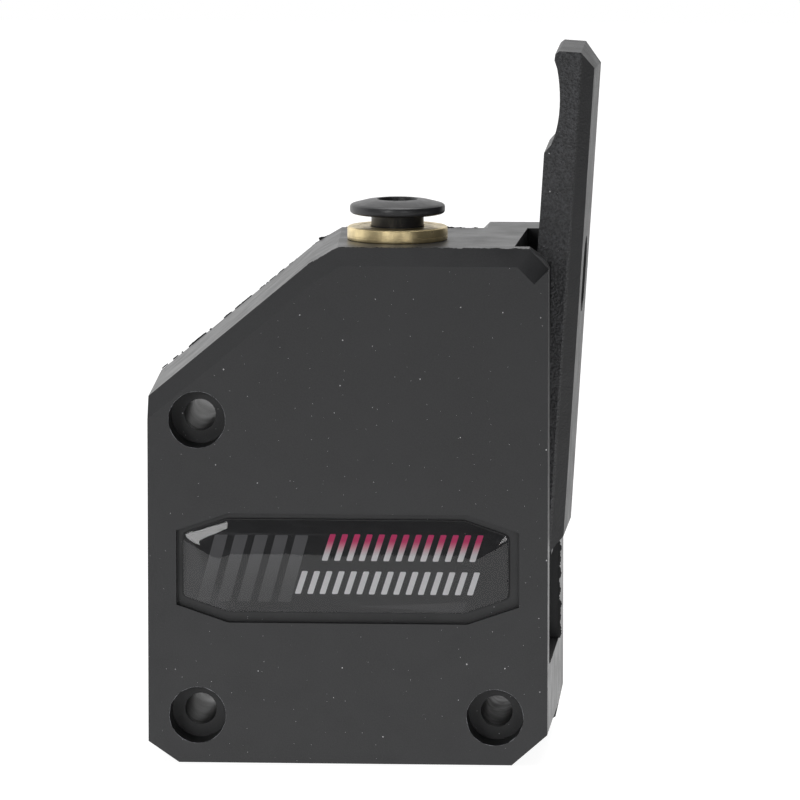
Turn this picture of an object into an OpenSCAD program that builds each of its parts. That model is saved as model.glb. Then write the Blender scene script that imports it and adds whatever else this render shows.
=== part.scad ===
// Geared dual-drive filament extruder that bolts to the face of a 42 mm stepper motor.
// Millimetres. X to the right and Z up as seen from the front, Y towards the motor.
// The origin is the centre of the motor pilot recess, on the motor's mounting face.
// "Depth" is the distance behind the front face, so a depth d lies at Y = d - body_depth.

/* [Body] */
// Depth of the whole body, front face to mounting face
body_depth = 27.5; // [27.3:0.1:28.5]
// Depth at which the rear flange starts
flange_start = 21.3; // [21.3:0.1:21.5]
// Left edge of the body
body_left = -20.65; // [-21.1:0.05:-20.6]
// Right edge of the body
body_right = 20.95; // [20.9:0.05:21.2]
// Underside of the body
body_bottom = -20.5; // [-21:0.1:-20.4]
// Flat top of the body
body_top = 33.4; // [33.3:0.1:34]
// Height at which the left side turns into the slope
shoulder_z = 17.8; // [17.6:0.1:18.2]
// Outward draft of the left side and the slope over the depth of the shell
shell_draft = 0.4; // [0.2:0.05:0.5]
// Outward draft of the right side
right_draft = 0.3; // [0.2:0.05:0.4]
// Right edge of the rear flange
flange_right = 21.5; // [21.3:0.1:21.8]
// Top of the rear flange beside its raised tab
flange_top = 23.2; // [22.8:0.1:23.6]
// Left side of the raised tab of the flange
tab_left = 12.9; // [12.5:0.1:13.5]

/* [Cover] */
// Thickness of the cover's outer rim
cover_rim = 1.5; // [1.4:0.1:1.6]
// Thickness of the cover with the tongue that drops into the shell
cover_plate = 3.0; // [3.0:0.1:3.1]
// Width of the bevel along the slope and the top
bevel_w = 1.75; // [1:0.05:2]
// Width of the bevel across the top right corner
corner_bevel_w = 2.05; // [1.5:0.05:2.2]
// Depth of the bevel
bevel_d = 1.3; // [0.8:0.1:1.4]
// Width of the badge recess
badge_w = 35.7; // [30:0.1:36]
// Height of the badge recess
badge_h = 11.5; // [9:0.1:12]
// Depth of the badge recess
badge_recess = 1.0; // [0.8:0.1:1.2]

/* [Motor interface] */
// Distance between the motor's screws
screw_pitch = 31.0; // [30.9:0.1:31.1]
// Clearance hole for an M3 screw
screw_d = 3.3; // [3.2:0.1:3.4]
// Counterbore for the screw head
head_d = 5.95; // [5.8:0.05:6.2]
// Depth of the counterbore
head_depth = 4.2; // [3.8:0.1:4.4]
// Diameter of the recess for the motor's pilot
pilot_d = 22.2; // [22:0.1:22.4]
// Depth of the pilot recess
pilot_depth = 2.2; // [2:0.1:2.4]

/* [Gears] */
// Module of every gear
gear_module = 0.5; // [0.5:0.01:0.51]
// Teeth of the large gear
large_teeth = 50; // [48:1:50]
// Teeth of the motor's own pinion, which sets the shaft's height
pinion_teeth = 17; // [17:1:18]
// Teeth of the drive gear and of the idler gear
drive_teeth = 19; // [19:1:19]
// Depth of the filament's path
filament_depth = 10.2; // [10.2:0.1:10.3]
// Diameter of the filament's hole
filament_hole_d = 2.1; // [1.9:0.1:2.2]

/* [Lever] */
// Outward lean of the lever when the gears are in mesh, in degrees
lever_lean = 3.6; // [3.4:0.1:3.8]
// Height of the lever's tip, along the lever
lever_top = 53.4; // [50:0.1:54]
// Front side of the lever, as a depth
lever_front = 6.7; // [6.7:0.05:6.8]
// Back side of the lever, as a depth
lever_back = 21.1; // [21:0.05:21.1]

/* [Tube coupling] */
// Diameter of the brass ring
ring_d = 10.5; // [10:0.1:10.6]
// Height of the brass ring above the body
ring_h = 1.4; // [1.2:0.1:1.6]
// Diameter of the collet's flange
collet_d = 9.95; // [9:0.05:10.2]
// Outer diameter of the tube that the collet grips, with its clearance
tube_socket_d = 4.2; // [4.1:0.05:4.3]

/* [Hidden] */
$fn = 64;
eps = 0.01;
over = 4;

// Places
screw_at = screw_pitch/2;
pivot = [screw_at, -screw_at];
drive_r = gear_module*drive_teeth/2;
shaft_z = gear_module*(large_teeth + pinion_teeth)/2;
idler_x = 2*drive_r;
path_x = drive_r;
large_r = gear_module*(large_teeth + 2)/2;

// Outlines of the body in the front view, clockwise from the left of the underside
crown_x = -1.0;
knee = [-4.2, body_top - 1.9];
body_outline = [
    [-17.45, body_bottom], [body_left, -18.3], [body_left, shoulder_z], knee,
    [crown_x, body_top], [18.9, body_top], [20.45, body_top - 1.1],
    [body_right, body_top - 2.1], [body_right, -17.3], [17.25, body_bottom]];
flange_slope_inset = 1.5;
tab_bevel = 0.7;
back_wall = 1.0;

// Depths of what turns on the shaft and of the bearings
bearing_w = 2.5;
bearing_r = 4.0;
shaft_r = 2.5;
front_bearing_at = cover_plate;
rear_bearing_at = flange_start + 0.3;
collar_at = 5.9;
hob_at = filament_depth - 1.4;
teeth_at = filament_depth + 2.0;
teeth_end = teeth_at + 3.0;
large_at = 17.3;
large_end = flange_start - 0.3;
hob_r = drive_r - 0.2;
groove_r = 1.0;
collar_r = drive_r - 0.3;
grub_r = 1.25;
grub_depth = 7.35;

// Cavities
front_wall = 6.5;
window_at = 3.6;
chamber_r = 5.85;
chamber_top = 22.8;
chamber_bottom = 11.2;
chamber_end = 17.1;
large_chamber_r = large_r + 0.2;
pocket_left = 17.3;
pocket_draft = 0.55;
slot_left = 12.2;
slot_foot = -10.4;
side_wall = 0.8;
knuckle_r = 3.6;
knuckle_space_r = 3.85;
pinion_space_r = 5.7;
pinion_space_at = 13.5;
shaft_space_r = 2.75;
// Cored-out pockets behind the cover: x from, x to, z from, z to, depth
cores = [[-18.7, -7.4, -9.8, 9.8, 16.0], [-9.8, 1.7, -18.6, -4.2, 12.4]];

// Lever
cheek_t = 1.6;
front_cheek_at = lever_front + 0.1;
rear_cheek_at = teeth_end + 0.2;
rear_cheek_end = 17.1;
ear_r = 3.6;
lever_origin = [21.0, 0];
shade_step = 0.4;
sleeve_r = 2.3;
sleeve_clearance = 0.05;
pin_r = 1.5;
tension_z = 29.6;
tension_depth = 13.9;
tension_slot_w = 4.4;
tension_slot_h = 8.0;

// Boss round each screw, on the back of the cover
boss_r = 3.9;
boss_end = 5.6;
boss_clearance = 0.1;

// Tube coupling, as heights
barrel_r = 4.0;
barrel_bottom = 26.4;
seal_seat_top = 28.2;
lip_bottom = body_top - 0.4;
collet_bottom = 29.8;
collet_top = body_top + 4.22;
collet_under = body_top + 2.65;
neck_r = 2.75;
liner_r = 2.0;
socket_len = 8.0;

PLASTIC = "#3a3a3d";
STEEL = "#b8bac0";
BRASS = "#b49e6c";
NATURAL = "#ece9e0";

// Solid of a front-view outline between two depths
module slab(from, to) {
    translate([0, to - body_depth, 0]) rotate([90, 0, 0])
        linear_extrude(height = to - from) children();
}

// Round bar along Y between two depths
module bar(x, z, r, from, to) {
    translate([x, to - body_depth, z]) rotate([90, 0, 0]) cylinder(r = r, h = to - from);
}

// Round bar along Z in the filament's path
module path_bar(r, low, high) {
    translate([path_x, filament_depth - body_depth, low]) cylinder(r = r, h = high - low);
}

// Solid of revolution about the filament's path, from [radius, height] points
module path_turned(points) {
    translate([path_x, filament_depth - body_depth, 0]) rotate_extrude() polygon(points);
}

// Block given by its front-view box and two depths
module block(x0, x1, z0, z1, from, to) {
    translate([x0, from - body_depth, z0]) cube([x1 - x0, to - from, z1 - z0]);
}

// Convex clockwise outline moved inwards by a distance
function unit(v) = v/norm(v);
function inward(a, b) = let (e = unit(b - a)) [e[1], -e[0]];
function inset(pts, by) = [for (i = [0:len(pts) - 1])
    let (n = len(pts), p = pts[(i + n - 1) % n], q = pts[i], r = pts[(i + 1) % n],
        u = inward(p, q), v = inward(q, r))
    q + by*(u + v)/(1 + u*v)];

// Long prism along the edge from a to b, which runs past b by the tail.
// Its section has the inward distance and the depth as axes.
module edge_prism(a, b, section, tail = over) {
    e = unit(b - a);
    translate([a[0], -body_depth, a[1]]) rotate([0, atan2(e[0], e[1]), 0])
        translate([0, 0, -over]) linear_extrude(height = norm(b - a) + over + tail) polygon(section);
}

// Involute spur gear outline with a tooth on the +X axis
tooth_play = 0.06;
function involute(a) = tan(a)*180/PI - a;
function flank(r, n, m) = let (base = m*n/2*cos(20), a = acos(min(1, base/r)))
    90/n + involute(20) - involute(a) - tooth_play/(m*n)*180/PI;
function gear_points(n, m) = let (root = m*n/2 - 1.2*m, base = m*n/2*cos(20), pitch = m*n/2,
        tip = m*(n + 2)/2, low = max(root, base), radii = [root, low, pitch, (pitch + tip)/2, tip])
    [for (k = [0:n - 1], side = [-1, 1], i = [0:4])
        let (r = radii[side < 0 ? i : 4 - i], a = 360*k/n + side*flank(max(r, low), n, m))
        r*[cos(a), sin(a)]];

module gear(x, n, turn, from, to) {
    slab(from, to) translate([x, shaft_z]) rotate(turn) polygon(gear_points(n, gear_module));
}

module screw_places() {
    for (p = [[-screw_at, screw_at], [-screw_at, -screw_at], pivot]) translate([p[0], 0, p[1]]) children();
}

// ---- Casing ----

module shell_solid() {
    last = len(body_outline) - 1;
    drafts = [0, shell_draft, shell_draft, shell_draft, 0, 0, 0, right_draft, right_draft, 0];
    difference() {
        slab(cover_rim, flange_start) polygon(inset(body_outline, -max(drafts)));
        for (i = [0:last])
            edge_prism(body_outline[i], body_outline[(i + 1) % (last + 1)], [[0, -1], [0, cover_rim],
                [-drafts[i], flange_start], [-drafts[i], flange_start + 1], [-2, flange_start + 1],
                [-2, -1]]);
    }
}

module flange_solid() {
    low = [for (i = [0:2]) body_outline[i]];
    slope_in = inset(body_outline, flange_slope_inset);
    slope_dir = unit(knee - body_outline[2]);
    rise = slope_in[3] - slope_dir*(slope_in[3][1] - flange_top)/slope_dir[1];
    foot = slope_in[3] - slope_dir*(slope_in[3][0] - body_left)/slope_dir[0];
    right_in = flange_right - body_right - right_draft;
    difference() {
        slab(flange_start - eps, body_depth) polygon([
            low[0], low[1], foot, rise, [tab_left, flange_top], [tab_left, body_top - tab_bevel],
            [tab_left + tab_bevel, body_top], [body_right - 0.4, body_top],
            [flange_right, body_top - 1], [flange_right, -16.3], [20.95, -18.9], [18.4, body_bottom]]);
        edge_prism([flange_right, body_top], [flange_right, body_bottom],
            [[right_in, flange_start - 1], [right_in, flange_start], [0, body_depth], [-2, body_depth],
            [-2, flange_start - 1]]);
    }
}

// Space in which the lever swings
module lever_space() {
    far = flange_right + over;
    translate([0, -body_depth, chamber_top - 1]) linear_extrude(height = body_top + over - chamber_top)
        polygon([[pocket_left, window_at], [far, window_at], [far, flange_start],
            [pocket_left + pocket_draft, flange_start]]);
    block(19.8, far, slot_foot, chamber_top, window_at, flange_start);
    block(15.4, far, chamber_bottom, chamber_top, front_wall, flange_start);
    block(slot_left, far, slot_foot, chamber_bottom + eps, front_wall, flange_start);
    block(slot_left, body_right - side_wall, pivot[1], slot_foot + eps, front_wall, flange_start);
    bar(pivot[0], pivot[1], knuckle_space_r, front_wall, flange_start);
}

module housing_bores() {
    screw_places() {
        bar(0, 0, screw_d/2, 0, body_depth + 1);
        bar(0, 0, boss_r + boss_clearance, 0, boss_end + boss_clearance);
    }
    bar(pivot[0], pivot[1], sleeve_r + 0.02, boss_end, flange_start + 1.2);
    bar(0, 0, pilot_d/2, body_depth - pilot_depth, body_depth + 1);
    bar(0, 0, pinion_space_r, pinion_space_at, body_depth);
    bar(0, 0, shaft_space_r, cover_plate + 0.2, pinion_space_at + 1);
    bar(0, shaft_z, bearing_r, flange_start - 1, rear_bearing_at + bearing_w);
    bar(0, shaft_z, bearing_r - 1, flange_start - 1, rear_bearing_at + bearing_w + 0.6);
    path_bar(filament_hole_d/2, body_bottom - 1, chamber_bottom + 1);
    path_bar(liner_r + 0.05, 4.0, chamber_bottom + 1);
    path_bar(tube_socket_d/2, body_bottom - 1, body_bottom + socket_len);
    path_bar(liner_r + 0.05, chamber_top - 1, barrel_bottom + 1);
    path_bar(barrel_r, barrel_bottom, body_top + 1);
}

// Slot that takes the tension nut from the front, and the screw hole across it
module nut_space() {
    block(13.0, 15.6, tension_z - 2.85, tension_z + 2.85, 0, tension_depth + 3.2);
    translate([10, tension_depth - body_depth, tension_z]) rotate([0, 90, 0])
        cylinder(r = 1.7, h = pocket_left + 1 - 10);
}

module main_housing() {
    color(PLASTIC) difference() {
        union() {
            shell_solid();
            flange_solid();
            slab(flange_start - eps, flange_start + back_wall) polygon(inset(body_outline, 0.6));
        }
        slab(0, cover_plate) polygon(inset(body_outline, 1.2));
        bar(0, shaft_z, chamber_r, 0, chamber_end);
        block(0, 15.6, chamber_bottom, chamber_top, front_wall, chamber_end);
        bar(0, shaft_z, large_chamber_r, chamber_end - eps, flange_start);
        for (c = cores) block(c[0], c[1], c[2], c[3], 0, c[4]);
        lever_space();
        housing_bores();
        nut_space();
    }
}

// Section of the bevel, seen along its edge
function bevel_section(w) = [[-2, -2], [w*(bevel_d + 2)/bevel_d, -2], [0, bevel_d], [-2, bevel_d]];

module front_cover() {
    color(PLASTIC) difference() {
        union() {
            slab(0, cover_rim) polygon(body_outline);
            slab(cover_rim - eps, cover_plate) polygon(inset(body_outline, 1.4));
            screw_places() bar(0, 0, boss_r, cover_plate - eps, boss_end);
            bar(0, shaft_z, bearing_r + 1.3, cover_plate - eps, cover_plate + bearing_w);
        }
        for (i = [2:4]) edge_prism(body_outline[i], body_outline[i + 1], bevel_section(bevel_w));
        edge_prism(body_outline[5], body_outline[7], bevel_section(corner_bevel_w), 0);
        slab(-1, badge_recess) badge_outline(0);
        screw_places() {
            bar(0, 0, head_d/2, -1, head_depth);
            bar(0, 0, screw_d/2, 0, body_depth);
        }
        bar(0, shaft_z, bearing_r, front_bearing_at, body_depth);
    }
}

// Long octagon of the badge, moved inwards by a distance
module badge_outline(by) {
    hw = badge_w/2;
    hh = badge_h/2;
    cut = [5.4, 1.85];
    translate([0.15, 0]) polygon(inset([[-hw + cut[0], -hh], [-hw, -hh + cut[1]], [-hw, hh - cut[1]],
        [-hw + cut[0], hh], [hw - cut[0], hh], [hw, hh - cut[1]], [hw, -hh + cut[1]],
        [hw - cut[0], -hh]], by));
}

module badge_backing() {
    color("#202024") slab(badge_recess - 0.3, badge_recess) badge_outline(0.5);
}

module badge_dome() {
    color("#4a4a50") slab(0.1, badge_recess - 0.3) badge_outline(0.55);
}

// ---- Lever ----

// Finger hollow of the grip, as an arc bulging into the lever
hollow_low = [-3.5, 42.7];
hollow_high = [-3.05, 52.4];
hollow_depth = 1.1;
grip_steps = 12;
grip_edge = [for (i = [0:grip_steps]) let (t = i/grip_steps)
    hollow_low + t*(hollow_high - hollow_low) + [hollow_depth*pow(sin(180*pow(t, 0.8)), 0.7), 0]];

// Moves children from the upright lever frame to the leaning one
module leaning() {
    translate([lever_origin[0], 0, lever_origin[1]]) rotate([0, lever_lean, 0]) children();
}

module lever_plate() {
    outer_front = 1.1;
    outer_back = 1.5;
    chamfer_from = -0.4;
    chamfer_depth = 1.5;
    leaning() difference() {
        union() {
            slab(lever_front, lever_back) polygon(concat(
                [[-2.0, 31.4], [-3.5, 31.4]], grip_edge,
                [[-3.0, 53.05], [-2.6, lever_top], [-0.35, lever_top], [outer_back, 51.3],
                [outer_back, 3.0], [-0.4, 0.65]]));
            slab(lever_front + shade_step, lever_back - shade_step)
                polygon([[-2.4, -1.0], [-2.4, 31.5], [0, 31.5], [0, 0.65], [-0.4, 0.65]]);
        }
        // Front and back chamfers and the slight flare of the outer face
        for (side = [0, 1]) translate([0, side*(lever_front + lever_back - 2*body_depth), 0])
            mirror([0, side, 0]) translate([0, lever_front - body_depth, -over])
                linear_extrude(height = lever_top + 2*over) polygon([[chamfer_from, -0.01],
                    [outer_front + side*0.3, chamfer_depth + side*0.05],
                    [outer_front + 2, chamfer_depth], [2, -1], [chamfer_from, -1]]);
        translate([0, lever_front - body_depth, -over]) linear_extrude(height = lever_top + 2*over)
            polygon([[outer_front, chamfer_depth], [outer_back, lever_back - lever_front + 1],
                [3, lever_back], [3, 0]]);
        // Vertical slot for the tension screw
        low = tension_z - tension_slot_h/2 + tension_slot_w/2;
        high = tension_z + tension_slot_h/2 - tension_slot_w/2;
        for (z = [low, high]) translate([-over, tension_depth - body_depth, z]) rotate([0, 90, 0])
            cylinder(d = tension_slot_w, h = 2*over);
        translate([-over, tension_depth - body_depth - tension_slot_w/2, low])
            cube([2*over, tension_slot_w, high - low]);
    }
}

// Front-view outline of a cheek, from the knuckle to the idler's ear and the plate
module cheek_outline() {
    difference() {
        union() {
            translate(pivot) circle(r = knuckle_r);
            polygon([[13.0, pivot[1]], [13.0, 11.5], [idler_x + 0.8, shaft_z - ear_r],
                [idler_x, shaft_z - ear_r], [idler_x, shaft_z + ear_r], [20.2, shaft_z + ear_r],
                [20.2, 1.2], [17.4, -5.6], [17.2, -8.5],
                pivot + knuckle_r*[cos(12), sin(12)], pivot]);
            translate([idler_x, shaft_z]) circle(r = ear_r);
        }
        translate(pivot) circle(r = sleeve_r + sleeve_clearance);
        translate([idler_x, shaft_z]) circle(r = pin_r + 0.01);
    }
}

module idler_lever() {
    color(PLASTIC) union() {
        lever_plate();
        slab(front_cheek_at, front_cheek_at + cheek_t) cheek_outline();
        slab(rear_cheek_at, rear_cheek_end) cheek_outline();
        // Spine that ties the cheeks together behind the plate
        slab(front_cheek_at, lever_back - 0.1) polygon([[16.4, -4], [16.4, 22], [21.4, 22], [20.6, 1.2],
            [20.2, 1.2], [17.4, -5.6], [16.4, -5.6]]);
        difference() {
            bar(pivot[0], pivot[1], knuckle_r, front_cheek_at, lever_back - 0.1);
            bar(pivot[0], pivot[1], sleeve_r + sleeve_clearance, 0, body_depth);
        }
    }
}

module pivot_sleeve() {
    color(STEEL) difference() {
        bar(pivot[0], pivot[1], sleeve_r, boss_end + 0.1, flange_start + 1.2);
        bar(pivot[0], pivot[1], screw_d/2, 0, body_depth);
    }
}

module idler_pin() {
    color(STEEL) bar(idler_x, shaft_z, pin_r, front_cheek_at, rear_cheek_end);
}

// ---- Gears ----

// Revolved blank of a hobbed gear: end collar, grooved hob and the seat of the teeth
module hob_blank(x, start, bore_r) {
    translate([x, -body_depth, shaft_z]) rotate([-90, 0, 0]) rotate_extrude() difference() {
        polygon([[bore_r, start], [collar_r, start], [collar_r, hob_at], [hob_r, hob_at],
            [hob_r, teeth_at], [drive_r - 0.7, teeth_at], [drive_r - 0.7, teeth_end], [bore_r, teeth_end]]);
        translate([drive_r, filament_depth]) circle(r = groove_r);
    }
}

module bored_teeth(x, turn, bore_r) {
    difference() {
        gear(x, drive_teeth, turn, teeth_at, teeth_end);
        bar(x, shaft_z, bore_r, 0, body_depth);
    }
}

module idler_gear() {
    color(STEEL) union() {
        hob_blank(idler_x, front_cheek_at + cheek_t + 0.2, shaft_r);
        bored_teeth(idler_x, drive_teeth % 2 == 0 ? 180/drive_teeth : 0, shaft_r);
    }
}

module drive_gear() {
    color(STEEL) difference() {
        union() {
            hob_blank(0, collar_at, shaft_r + 0.02);
            bored_teeth(0, 0, shaft_r + 0.02);
        }
        translate([0, grub_depth - body_depth, shaft_z]) cylinder(r = grub_r + 0.03, h = over + 1);
    }
}

module drive_grub_screw() {
    color("#2c2c30") translate([0, grub_depth - body_depth, shaft_z]) difference() {
        translate([0, 0, 2.15]) cylinder(r = grub_r, h = 1.95);
        translate([0, 0, 3.0]) cylinder(r = 0.75, h = 2, $fn = 6);
    }
}

module drive_shaft() {
    color(STEEL) difference() {
        bar(0, shaft_z, shaft_r, cover_plate + 0.1, rear_bearing_at + bearing_w + 0.2);
        block(-3, 3, shaft_z + 2.1, shaft_z + 3, collar_at, hob_at);
    }
}

module large_gear() {
    color(NATURAL) difference() {
        gear(0, large_teeth, 360/large_teeth/2, large_at, large_end);
        slab(0, large_at + 0.9) translate([0, shaft_z]) difference() {
            circle(r = 10.8);
            circle(r = 5.8);
        }
        slab(0, body_depth) translate([0, shaft_z]) {
            for (a = [0:72:359]) rotate(a) translate([8.3, 0]) circle(r = 1.7);
            circle(r = 4.6, $fn = 6);
        }
    }
}

module large_gear_hub() {
    color(STEEL) difference() {
        slab(large_at, large_end) translate([0, shaft_z]) circle(r = 4.58, $fn = 6);
        bar(0, shaft_z, shaft_r + 0.02, 0, body_depth);
    }
}

module shim(from, to, r) {
    color(STEEL) difference() {
        bar(0, shaft_z, r, from, to);
        bar(0, shaft_z, shaft_r + 0.04, 0, body_depth);
    }
}

module front_shim() {
    shim(front_bearing_at + bearing_w + 0.04, collar_at - 0.04, 3.2);
}

module rear_shim() {
    shim(large_end + 0.04, rear_bearing_at - 0.04, 3.2);
}

// ---- Ball bearings: 5 x 8 x 2.5 ----

ball_r = 0.5;
ball_ring_r = 3.25;
race_r = 0.54;
balls = 11;

module race(at, inner, outer) {
    color(STEEL) translate([0, at - body_depth, shaft_z]) rotate([-90, 0, 0]) rotate_extrude() difference() {
        translate([inner, 0]) square([outer - inner, bearing_w]);
        translate([ball_ring_r, bearing_w/2]) circle(r = race_r);
    }
}

module ball_set(at) {
    color("#d8d8dc") for (i = [0:balls - 1])
        translate([ball_ring_r*cos(360*i/balls), at + bearing_w/2 - body_depth,
            shaft_z + ball_ring_r*sin(360*i/balls)]) sphere(r = ball_r, $fn = 24);
}

module front_bearing_outer_ring() { race(front_bearing_at, 3.5, bearing_r - 0.01); }
module front_bearing_inner_ring() { race(front_bearing_at, shaft_r + 0.01, 3.0); }
module front_bearing_balls() { ball_set(front_bearing_at); }
module rear_bearing_outer_ring() { race(rear_bearing_at, 3.5, bearing_r - 0.01); }
module rear_bearing_inner_ring() { race(rear_bearing_at, shaft_r + 0.01, 3.0); }
module rear_bearing_balls() { ball_set(rear_bearing_at); }

// ---- Needle bearings inside the idler gear ----

cup_len = 3.1;
cup_at = [8.75, 12.0];
cup_inner_r = 1.97;
roller_r = 0.2;
roller_ring_r = 1.75;
rollers = 14;

module needle_bearing_cups() {
    color(STEEL) for (at = cup_at) difference() {
        bar(idler_x, shaft_z, shaft_r - 0.01, at, at + cup_len);
        bar(idler_x, shaft_z, cup_inner_r, 0, body_depth);
    }
}

module needle_rollers() {
    color("#d8d8dc") for (at = cup_at) for (i = [0:rollers - 1])
        bar(idler_x + roller_ring_r*cos(360*i/rollers), shaft_z + roller_ring_r*sin(360*i/rollers),
            roller_r, at + 0.3, at + cup_len - 0.3, $fn = 16);
}

// ---- Filament guides and the tension nut ----

module liner(low, high) {
    color(NATURAL) difference() {
        path_bar(liner_r, low, high);
        path_bar(filament_hole_d/2, low - 1, high + 1);
    }
}

module upper_liner_tube() { liner(21.4, barrel_bottom - 0.05); }
module lower_liner_tube() { liner(4.05, 12.0); }

module tension_nut() {
    color(STEEL) translate([13.1, tension_depth - body_depth, tension_z]) rotate([0, 90, 0]) difference() {
        rotate(30) cylinder(r = 5.5/2/cos(30), h = 2.4, $fn = 6);
        translate([0, 0, -1]) cylinder(r = 1.25, h = 5);
    }
}

// ---- Push-fit tube coupling ----

module coupling_body() {
    ring_top = body_top + ring_h;
    r = ring_d/2;
    edge = 0.2;
    color(BRASS) path_turned([
        [filament_hole_d/2, barrel_bottom], [barrel_r - 0.02, barrel_bottom], [barrel_r - 0.02, body_top],
        [r - edge/2, body_top], [r, body_top + edge/2], [r, ring_top - edge], [r - edge, ring_top],
        [neck_r + 0.1, ring_top], [neck_r + 0.1, lip_bottom], [3.5, lip_bottom], [3.5, seal_seat_top],
        [3.3, seal_seat_top], [3.3, barrel_bottom + 0.5], [filament_hole_d/2, barrel_bottom + 0.5]]);
}

module collet() {
    bore = tube_socket_d/2;
    r = collet_d/2;
    color("#343437") path_turned([
        [bore, collet_bottom], [3.35, collet_bottom], [3.35, lip_bottom - 0.1], [neck_r, lip_bottom - 0.1],
        [neck_r, collet_under], [r - 0.35, collet_under + 0.03], [r, collet_under + 0.3],
        [r, collet_under + 0.85], [r - 0.3, collet_under + 1.08], [r - 1.0, collet_top - 0.28],
        [3.2, collet_top - 0.1], [bore + 0.3, collet_top], [bore + 0.12, collet_top - 0.03],
        [bore, collet_top - 0.35]]);
}

module collet_claws() {
    color(STEEL) difference() {
        path_bar(3.2, collet_bottom - 0.35, collet_bottom - 0.05);
        path_bar(tube_socket_d/2 - 0.05, 0, body_top);
        for (a = [0, 90]) translate([path_x, filament_depth - body_depth, collet_bottom - 0.5])
            rotate(a) translate([-2.7, -0.25, 0]) cube([5.4, 0.5, 1]);
    }
}

module coupling_seal_ring() {
    color("#26262a") translate([path_x, filament_depth - body_depth, 27.55]) rotate_extrude()
        translate([2.7, 0]) circle(r = 0.58);
}

main_housing();
front_cover();
badge_backing();
badge_dome();
idler_lever();
pivot_sleeve();
idler_pin();
idler_gear();
needle_bearing_cups();
needle_rollers();
drive_shaft();
drive_gear();
drive_grub_screw();
large_gear();
large_gear_hub();
front_shim();
rear_shim();
front_bearing_outer_ring();
front_bearing_inner_ring();
front_bearing_balls();
rear_bearing_outer_ring();
rear_bearing_inner_ring();
rear_bearing_balls();
upper_liner_tube();
lower_liner_tube();
tension_nut();
coupling_body();
collet();
collet_claws();
coupling_seal_ring();
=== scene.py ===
"""Looks of a geared filament extruder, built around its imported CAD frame. Units are metres."""
import math

import bmesh
import bpy
from mathutils import Matrix, Vector, noise


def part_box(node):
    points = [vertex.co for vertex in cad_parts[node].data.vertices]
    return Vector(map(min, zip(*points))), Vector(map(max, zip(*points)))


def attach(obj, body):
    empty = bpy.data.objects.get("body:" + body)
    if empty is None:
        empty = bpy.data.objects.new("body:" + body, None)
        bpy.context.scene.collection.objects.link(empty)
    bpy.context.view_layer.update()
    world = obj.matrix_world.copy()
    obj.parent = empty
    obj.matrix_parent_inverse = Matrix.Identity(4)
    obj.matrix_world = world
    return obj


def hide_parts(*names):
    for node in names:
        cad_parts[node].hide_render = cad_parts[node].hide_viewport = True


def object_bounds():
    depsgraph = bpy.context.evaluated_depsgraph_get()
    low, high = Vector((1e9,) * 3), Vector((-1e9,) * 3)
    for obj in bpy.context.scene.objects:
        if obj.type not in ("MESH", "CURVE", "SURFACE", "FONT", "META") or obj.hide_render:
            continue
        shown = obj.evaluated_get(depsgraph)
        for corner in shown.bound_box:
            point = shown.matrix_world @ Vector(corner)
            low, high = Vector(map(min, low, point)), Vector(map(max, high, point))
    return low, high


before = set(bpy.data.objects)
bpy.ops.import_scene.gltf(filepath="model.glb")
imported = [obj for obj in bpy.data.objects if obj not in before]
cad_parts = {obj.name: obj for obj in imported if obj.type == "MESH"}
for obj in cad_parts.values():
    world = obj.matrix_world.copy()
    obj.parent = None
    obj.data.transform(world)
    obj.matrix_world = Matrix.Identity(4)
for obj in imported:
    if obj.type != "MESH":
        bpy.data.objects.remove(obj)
cad_low, cad_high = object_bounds()

MM = 0.001

# ---- Driving dimensions, from the frame where it has them ----

cover_low, cover_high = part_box("front_cover")
ring_low, ring_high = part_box("coupling_body")
collet_low, collet_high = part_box("collet")
foil_low, foil_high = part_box("badge_backing")
dome_low, dome_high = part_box("badge_dome")
idler_low, idler_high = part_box("idler_gear")
drive_low, drive_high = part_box("drive_gear")

FRONT = cover_low.y
BODY_TOP = cover_high.z
PATH = Vector(((ring_low.x + ring_high.x) / 2, (ring_low.y + ring_high.y) / 2, 0))
SHAFT_Z = (drive_low.z + drive_high.z) / 2
IDLER_X = (idler_low.x + idler_high.x) / 2
WELL_R = 2.975 * MM
# Half the pitch of the motor's screws and the places of their wells, (x, z) in millimetres.
HALF_PITCH = 15.5
SCREW_WELLS = ((-HALF_PITCH, HALF_PITCH), (-HALF_PITCH, -HALF_PITCH), (HALF_PITCH, -HALF_PITCH))
LEVER_FACE = FRONT + 6.8 * MM
# Edges that turn by more than this many degrees are rounded.
EDGE_ANGLE = 28

# ---- Colours, linear ----

BLACK_PLASTIC = (0.0175, 0.0178, 0.0192)
BRASS = (0.92, 0.75, 0.42)
STEEL = (0.55, 0.55, 0.56)
# Pivot sleeve steel, painted far darker than the other steel as painted shade for its place deep in the
# bottom-right screw well.
SHADED_SLEEVE_STEEL = (0.16, 0.16, 0.165)
BLACK_OXIDE = (0.035, 0.035, 0.037)
NATURAL = (0.72, 0.69, 0.60)
WHITE = (0.86, 0.86, 0.85)
MAGENTA = (0.85, 0.03, 0.20)
PALE_INK = (0.88, 0.88, 0.88)
GREY_INK = (0.11, 0.11, 0.115)
DUST = (0.50, 0.50, 0.51)
FOIL_DARK = (0.010, 0.010, 0.011)
FOIL_DOT = (0.016, 0.016, 0.018)
COLLET_BLACK = (0.022, 0.022, 0.024)
RUBBER_BLACK = (0.018, 0.018, 0.018)
RESIN_CLEAR = (0.93, 0.93, 0.94)


# ---- Materials ----

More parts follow.
